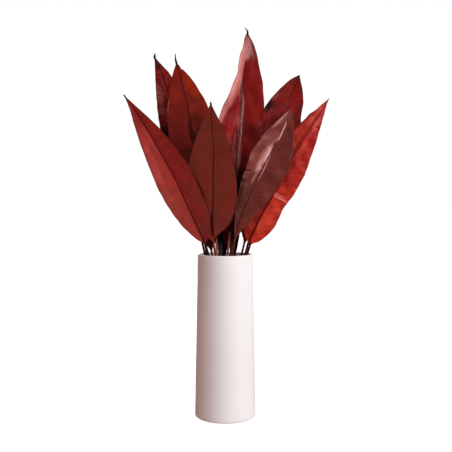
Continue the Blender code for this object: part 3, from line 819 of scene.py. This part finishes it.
class Graph:
    """Short names for the nodes that a material or the surround is made of."""

    def __init__(self, owner):
        owner.use_nodes = True
        self.owner = owner
        self.tree = owner.node_tree
        self.shader = self.tree.nodes.get("Principled BSDF")

    def feed(self, item, values):
        """Links or sets inputs of a node, each known by its name or number."""
        for key, value in values.items():
            if isinstance(value, bpy.types.NodeSocket):
                self.tree.links.new(value, item.inputs[key])
            else:
                item.inputs[key].default_value = value

    def node(self, kind, values=None, **settings):
        item = self.tree.nodes.new(kind)
        for key, value in settings.items():
            setattr(item, key, value)
        self.feed(item, values or {})
        return item

    def attribute(self, name):
        return self.node("ShaderNodeAttribute", attribute_name=name).outputs["Fac"]

    def millimetres(self, name):
        return self.times(self.attribute(name), 1.0 / MM)

    def math(self, operation, *values):
        return self.node("ShaderNodeMath", dict(enumerate(values)), operation=operation).outputs[0]

    def plus(self, first, second):
        return self.math("ADD", first, second)

    def minus(self, first, second):
        return self.math("SUBTRACT", first, second)

    def times(self, first, second):
        return self.math("MULTIPLY", first, second)

    def affine(self, value, factor, offset):
        return self.math("MULTIPLY_ADD", value, factor, offset)

    def smooth(self, value, low, high, to_low=0.0, to_high=1.0):
        return self.node("ShaderNodeMapRange", {
            "Value": value, "From Min": low, "From Max": high, "To Min": to_low, "To Max": to_high,
        }, interpolation_type="SMOOTHSTEP").outputs["Result"]

    def vector(self, *values):
        return self.node("ShaderNodeCombineXYZ", dict(enumerate(values))).outputs[0]

    def noise(self, vector, size, detail=2.0, roughness=0.5, distortion=0.0):
        """Noise of about the given size in the vector's own unit."""
        return self.node("ShaderNodeTexNoise", {
            "Vector": vector, "Scale": 1.0 / size, "Detail": detail, "Roughness": roughness,
            "Distortion": distortion}).outputs["Fac"]

    def cells(self, vector, size):
        return self.node(
            "ShaderNodeTexVoronoi", {"Vector": vector, "Scale": 1.0 / size},
            feature="DISTANCE_TO_EDGE").outputs["Distance"]

    def mix(self, share, first, second):
        return self.node(
            "ShaderNodeMix", {0: share, 6: first, 7: second}, data_type="RGBA").outputs[2]

    def shade(self, colour, factor):
        """The colour made lighter or darker by a varying factor."""
        return self.node(
            "ShaderNodeVectorMath", {0: colour, "Scale": factor}, operation="SCALE").outputs[0]

    def bump(self, height, strength, distance):
        return self.node("ShaderNodeBump", {
            "Strength": strength, "Distance": distance, "Height": height}).outputs["Normal"]


def make_leaf_material(leaf):
    """Skin of one leaf, drawn in its own coordinates along and across the blade."""
    look = LOOKS[leaf.name]
    relief = RELIEFS.get(leaf.name, PLAIN_RELIEF)
    g = Graph(bpy.data.materials.new(leaf.name))
    share = g.attribute("share")
    across = g.millimetres("across")
    run = g.millimetres("run")
    place = g.attribute("place")
    edge = g.millimetres("edge")
    under = g.attribute("under")
    flat = g.vector(across, run, look.seed * SEED_STEP)
    outwards = g.math("ABSOLUTE", share)
    distance = g.math("ABSOLUTE", across)

    wide_noise = g.noise(flat, 30.0, 3.0, 0.55, 0.4)
    mid_noise = g.noise(flat, 9.0, 4.0, 0.6, 0.2)
    fine_noise = g.noise(flat, 1.6, 3.0, 0.6)
    blotch_noise = g.noise(g.vector(across, run, look.seed * SEED_STEP + 300.0), 11.0, 3.0, 0.55, 0.3)
    dull_noise = g.noise(g.vector(across, run, look.seed * SEED_STEP + 500.0), 14.0, 3.0, 0.55, 0.3)
    streaks = g.vector(across, g.times(run, 0.35), look.seed * SEED_STEP + 900.0)
    patch_noise = g.noise(streaks, 3.6, 3.0, 0.6)
    lean = g.times(distance, VEIN_LEAN)
    bow = g.times(g.times(distance, outwards), VEIN_BOW)
    vein_run = g.minus(g.minus(run, lean), bow)
    grain = g.noise(g.vector(g.times(across, 0.22), vein_run, look.seed * 11.0), 2.6, 3.0, 0.6)

    # Colour: the two halves, from low to high, each with its own tints.
    wander = g.times(g.minus(wide_noise, 0.5), 0.5)
    climb = g.smooth(g.plus(place, wander), look.rise[0], look.rise[1])
    left = g.mix(climb, tone(*look.left_low), tone(*look.left_high))
    right = g.mix(climb, tone(*look.right_low), tone(*look.right_high))
    colour = g.mix(g.smooth(share, -0.03, 0.03), left, right)
    blotches = g.smooth(blotch_noise, 0.46, 0.68, 0.0, look.blotch_share)
    colour = g.mix(blotches, colour, tone(*look.blotch))
    dulled = g.smooth(dull_noise, 0.46, 0.68, 0.0, look.dull_share)
    colour = g.mix(dulled, colour, tone(*look.dull))
    # Patches of tint, and painted highlights, painted sheen and painted shade.
    for tint_and_light_row in TINT_AND_PAINTED_LIGHT_PATCHES.get(leaf.name, ()):
        tint_and_light_patch = TintAndPaintedLightPatch(*tint_and_light_row)
        aside = g.minus(share, tint_and_light_patch.across)
        middle = g.affine(aside, tint_and_light_patch.lean, tint_and_light_patch.along)
        ahead = g.math("DIVIDE", g.minus(place, middle), tint_and_light_patch.reach_along)
        beside = g.math("DIVIDE", aside, tint_and_light_patch.reach_across)
        squares = g.plus(g.times(ahead, ahead), g.times(beside, beside))
        uneven = g.times(g.minus(patch_noise, 0.5), 3.0 * tint_and_light_patch.broken)
        fade = g.smooth(g.plus(squares, uneven), 0.0, 1.3, tint_and_light_patch.strength, 0.0)
        colour = g.mix(fade, colour, tone(*tint_and_light_patch.colour))
    variation = g.affine(wide_noise, 0.5, 0.75)
    variation = g.times(variation, g.affine(grain, 0.3, 0.85))
    variation = g.times(variation, g.affine(fine_noise, 0.16, 0.92))
    colour = g.shade(colour, variation)

    # Side veins, drawn faintly, and the midrib.
    jitter = g.times(g.minus(mid_noise, 0.5), 0.5)
    phase = g.plus(g.math("DIVIDE", vein_run, relief.spacing * VEIN_PITCH), jitter)
    wave = g.math("ABSOLUTE", g.minus(g.math("FRACT", phase), 0.5))
    vein = g.smooth(wave, 0.0, 0.12, 1.0, 0.0)
    on_blade = g.smooth(place, 0.0, 0.03)
    vein = g.times(vein, g.times(on_blade, g.smooth(outwards, 0.95, 0.7)))
    colour = g.shade(colour, g.affine(vein, -look.veins, 1.0))
    # Painted light and shade: the ripples between the side veins lighter and darker in turn.
    ripple_light_and_shade = g.math("SINE", g.times(phase, 2.0 * math.pi * VEIN_PITCH))
    ripple_light_and_shade = g.times(ripple_light_and_shade, g.smooth(outwards, 0.1, 0.5, 0.0, look.ripple))
    colour = g.shade(colour, g.plus(ripple_light_and_shade, 1.0))
    # Painted shade: one flank of the midrib darkened.
    flank_shade_across = across if look.flank > 0.0 else g.times(across, -1.0)
    flank = g.smooth(flank_shade_across, 3.4, 1.0, 0.0, abs(look.flank))
    flank = g.times(flank, g.smooth(flank_shade_across, 0.0, 0.3))
    colour = g.shade(colour, g.minus(1.0, flank))
    # Painted highlight on the shoulders of the midrib's ridge, and painted shade in a furrow beside
    # it.
    if look.ridge:
        ridge_reach, ridge_highlight_colour, ridge_start, ridge_end = look.ridge
        shown = g.times(
            g.smooth(place, ridge_start - 0.06, ridge_start + 0.04),
            g.smooth(place, ridge_end + 0.04, ridge_end - 0.06))
        broken = g.smooth(patch_noise, 0.35, 0.60, 0.55, 1.0)
        shoulder_highlight = g.smooth(distance, ridge_reach + 0.7, ridge_reach - 0.9, 0.0, 0.9)
        shoulder_highlight = g.times(g.times(shoulder_highlight, shown), broken)
        colour = g.mix(shoulder_highlight, colour, tone(*ridge_highlight_colour))
        beside_ridge = g.math("ABSOLUTE", g.plus(across, ridge_reach + 0.7))
        furrow_shade = g.smooth(beside_ridge, 1.3, 0.3, 0.0, 0.8)
        colour = g.mix(g.times(furrow_shade, shown), colour, tone(*look.rib_low))
    rib_reach = g.affine(place, 0.45 - look.rib_reach, look.rib_reach)
    rib_line = g.smooth(g.minus(distance, rib_reach), -0.35, 0.45, 1.0, 0.0)
    rib_share = g.times(rib_line, g.affine(under, -0.2, 0.9))
    rib = g.mix(g.smooth(place, 0.20, 0.36), tone(*look.rib_low), tone(*look.rib))
    colour = g.mix(rib_share, colour, rib)

    # Dark dried margin, tip and stalk.
    margin_reach = g.affine(mid_noise, 1.6, 0.3)
    margin = g.smooth(g.minus(edge, margin_reach), -0.4, 0.5, 0.8, 0.0)
    colour = g.mix(margin, colour, tone(*look.margin))
    tip = g.smooth(g.affine(wander, 0.04, place), 0.972, 0.995)
    colour = g.mix(tip, colour, tone(*look.tip))
    stalk_share = g.smooth(g.minus(run, g.times(rib_line, 14.0)), -3.0, 3.0, 1.0, 0.0)
    stalk_noise = g.noise(g.vector(across, g.times(run, 0.15), look.seed), 1.2, 3.0)
    stalk = g.shade(tone(*look.stalk)[:3], g.affine(stalk_noise, 0.9, 0.55))
    colour = g.mix(stalk_share, colour, stalk)

    rough = g.affine(mid_noise, 0.16, look.roughness - 0.08)
    rough = g.affine(grain, 0.10, g.minus(rough, 0.05))

    # Relief too fine for the mesh: side veins, the network between them, grain.
    network = g.smooth(g.cells(flat, 1.5), 0.0, 0.12)
    height = g.affine(vein, 0.9, g.times(grain, 1.1))
    height = g.affine(network, 0.12, height)
    height = g.affine(mid_noise, 1.2, height)
    g.feed(g.shader, {
        "Base Color": colour, "Roughness": rough, "Specular IOR Level": look.specular,
        "Coat Weight": look.coat, "Coat Roughness": 0.3, "Normal": g.bump(height, 0.5, 0.00022)})
    return g.owner


def make_ceramic():
    g = Graph(bpy.data.materials.new("matte_ceramic"))
    place = g.node("ShaderNodeTexCoord").outputs["Object"]
    broad = g.noise(place, 0.09, 3.0, 0.5)
    cloud = g.noise(place, 0.018, 4.0, 0.6)
    grain = g.noise(place, 0.0011, 3.0, 0.6)
    speck = g.noise(place, 0.0032, 2.0, 0.5)
    colour = g.mix(g.smooth(broad, 0.35, 0.65), *CERAMIC_TONES)
    colour = g.shade(colour, g.affine(cloud, 0.03, 0.985))
    colour = g.shade(colour, g.affine(g.smooth(speck, 0.70, 0.78), -0.05, 1.0))
    g.feed(g.shader, {
        "Base Color": colour, "Roughness": g.affine(cloud, 0.10, 0.52),
        "Specular IOR Level": 0.25,
        "Normal": g.bump(g.affine(cloud, 2.0, grain), 0.35, 0.00012)})
    return g.owner


# ---------------------------------------------------------------- vase

def arc_points(centre, radius, start, end, steps):
    angles = np.linspace(start, end, steps + 1)
    return np.stack([centre[0] + radius * np.cos(angles), centre[1] + radius * np.sin(angles)], 1)


def line_points(start, end, rows):
    share = np.linspace(0.0, 1.0, rows + 2)[1:-1, None]
    return np.asarray(start) * (1.0 - share) + np.asarray(end) * share


def vase_profile():
    """Half outline from the middle of the underside, round the lip, to the inner floor."""
    lean = (VASE_MOUTH_RADIUS - VASE_FOOT_RADIUS) / VASE_HEIGHT
    lip_radius = VASE_WALL / 2.0
    lip_z = VASE_HEIGHT - lip_radius
    inner_floor_radius = VASE_FOOT_RADIUS + lean * VASE_FLOOR - VASE_WALL
    quarter = math.pi / 2.0
    foot = arc_points(
        (VASE_FOOT_RADIUS - VASE_FOOT_ROUNDING, VASE_FOOT_ROUNDING),
        VASE_FOOT_ROUNDING, -quarter, 0.0, VASE_ROUNDING_STEPS)
    lip = arc_points(
        (VASE_MOUTH_RADIUS - lip_radius, lip_z), lip_radius, 0.0, 2.0 * quarter,
        2 * VASE_ROUNDING_STEPS)
    corner = arc_points(
        (inner_floor_radius - VASE_INNER_ROUNDING, VASE_FLOOR + VASE_INNER_ROUNDING),
        VASE_INNER_ROUNDING, 0.0, -quarter, VASE_ROUNDING_STEPS)
    underside_middle = (VASE_AXIS_GAP, 0.0)
    floor_middle = (VASE_AXIS_GAP, VASE_FLOOR)
    underside = line_points(underside_middle, foot[0], 4)
    outer = line_points(foot[-1], lip[0], VASE_WALL_ROWS)
    inner = line_points(lip[-1], corner[0], VASE_WALL_ROWS)
    floor = line_points(corner[-1], floor_middle, 4)
    return np.concatenate([
        [underside_middle], underside, foot, outer, lip, inner, corner, floor, [floor_middle]])


def build_vase(material):
    """The profile turned round the axis, drawn in by a little here and there."""
    profile = vase_profile()
    angles = np.linspace(0.0, 2.0 * math.pi, VASE_SEGMENTS, endpoint=False)
    uneven = soft_noise(7, 60.0, 160.0)
    radius = profile[:, :1]
    height = profile[:, 1:]
    sway = VASE_UNEVENNESS * uneven(np.sin(angles)[None] * radius * MM, height * MM)
    sway = sway * smooth((height - 8.0) / VASE_UNEVEN_RISE) - VASE_UNEVENNESS
    sway = np.where(
        radius > VASE_FOOT_ROUNDING + 20.0, sway * smooth(height / VASE_UNEVEN_RISE), 0.0)
    radii = radius + np.clip(sway, -2.5 * VASE_UNEVENNESS, 0.0)
    points = np.stack([
        radii * np.cos(angles), radii * np.sin(angles), np.broadcast_to(height, radii.shape)], -1)
    return add_mesh(
        "ceramic_vase", points.reshape(-1, 3) * MM, tube_faces(*points.shape[:2]), material,
        VASE_SHARP_ANGLE)


# ---------------------------------------------------------------- studio

def add_softbox(box):
    light = bpy.data.lights.new(box.name, "AREA")
    light.shape = "RECTANGLE"
    light.size = box.width
    light.size_y = box.height
    light.energy = box.watts
    light.color = box.colour
    item = add_object(box.name, light)
    azimuth = math.radians(box.azimuth)
    elevation = math.radians(box.elevation)
    flat = math.cos(elevation) * box.distance
    item.location = (
        math.sin(azimuth) * flat, -math.cos(azimuth) * flat,
        box.target_z + math.sin(elevation) * box.distance)
    item.rotation_euler = (math.pi / 2.0 - elevation, 0.0, azimuth)
    item.visible_diffuse = box.lights_matt


def make_world():
    """A pale surround that lights the vase softly, dimmer in gloss, white to the camera."""
    world = bpy.data.worlds.new("studio")
    bpy.context.scene.world = world
    g = Graph(world)
    rays = g.node("ShaderNodeLightPath").outputs
    lit = g.mix(rays["Is Glossy Ray"], SURROUND_AMBIENT, SURROUND_MIRRORED)
    seen = g.mix(rays["Is Camera Ray"], lit, WHITE)
    g.feed(g.tree.nodes["Background"], {"Color": seen})


def make_floor():
    g = Graph(bpy.data.materials.new("pale_floor"))
    mottle = g.noise(g.node("ShaderNodeTexCoord").outputs["Object"], 0.02, 2.0)
    g.feed(g.shader, {
        "Base Color": g.shade(FLOOR_COLOUR, g.affine(mottle, 0.02, 0.98)), "Roughness": 0.9,
        "Specular IOR Level": 0.0})
    matt = g.shader.outputs[0]
    glow = g.node("ShaderNodeEmission", {"Color": WHITE, "Strength": FLOOR_GLOW}).outputs[0]
    bright = g.node("ShaderNodeAddShader", {0: matt, 1: glow}).outputs[0]
    rays = g.node("ShaderNodeLightPath").outputs
    choice = g.node("ShaderNodeMixShader", {0: rays["Is Camera Ray"], 1: matt, 2: bright})
    g.feed(g.tree.nodes["Material Output"], {"Surface": choice.outputs[0]})
    half = FLOOR_HALF_WIDTH
    mesh = bpy.data.meshes.new("floor")
    mesh.from_pydata(
        [(-half, -half, 0.0), (half, -half, 0.0), (half, half, 0.0), (-half, half, 0.0)], [],
        [(0, 1, 2, 3)])
    mesh.materials.append(g.owner)
    item = add_object("floor", mesh)
    item.location = (0.0, 0.0, -FLOOR_DROP)
    return item


def add_camera():
    data = bpy.data.cameras.new("camera")
    data.lens = CAMERA_LENS
    data.sensor_width = CAMERA_SENSOR
    data.clip_start = 0.01
    item = add_object("camera", data)
    item.location = CAMERA_PLACE
    item.rotation_euler = (math.pi / 2.0 - CAMERA_DOWN, 0.0, 0.0)
    bpy.context.scene.camera = item


add_camera()
bpy.context.scene.view_settings.view_transform = "Standard"
bpy.context.scene.view_settings.look = "None"
make_world()
for softbox in SOFTBOXES:
    add_softbox(softbox)

ceramic = make_ceramic()
vase = build_vase(ceramic)
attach(vase, "root")
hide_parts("vase")

for leaf_row in LEAVES:
    corners, leaf_faces, leaf_values = build_leaf_mesh(leaf_row)
    piece = add_mesh(
        leaf_row.name + "_blade", corners, leaf_faces, make_leaf_material(leaf_row),
        LEAF_SHARP_ANGLE, leaf_values)
    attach(piece, "root")
    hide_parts(leaf_row.name)

make_floor()
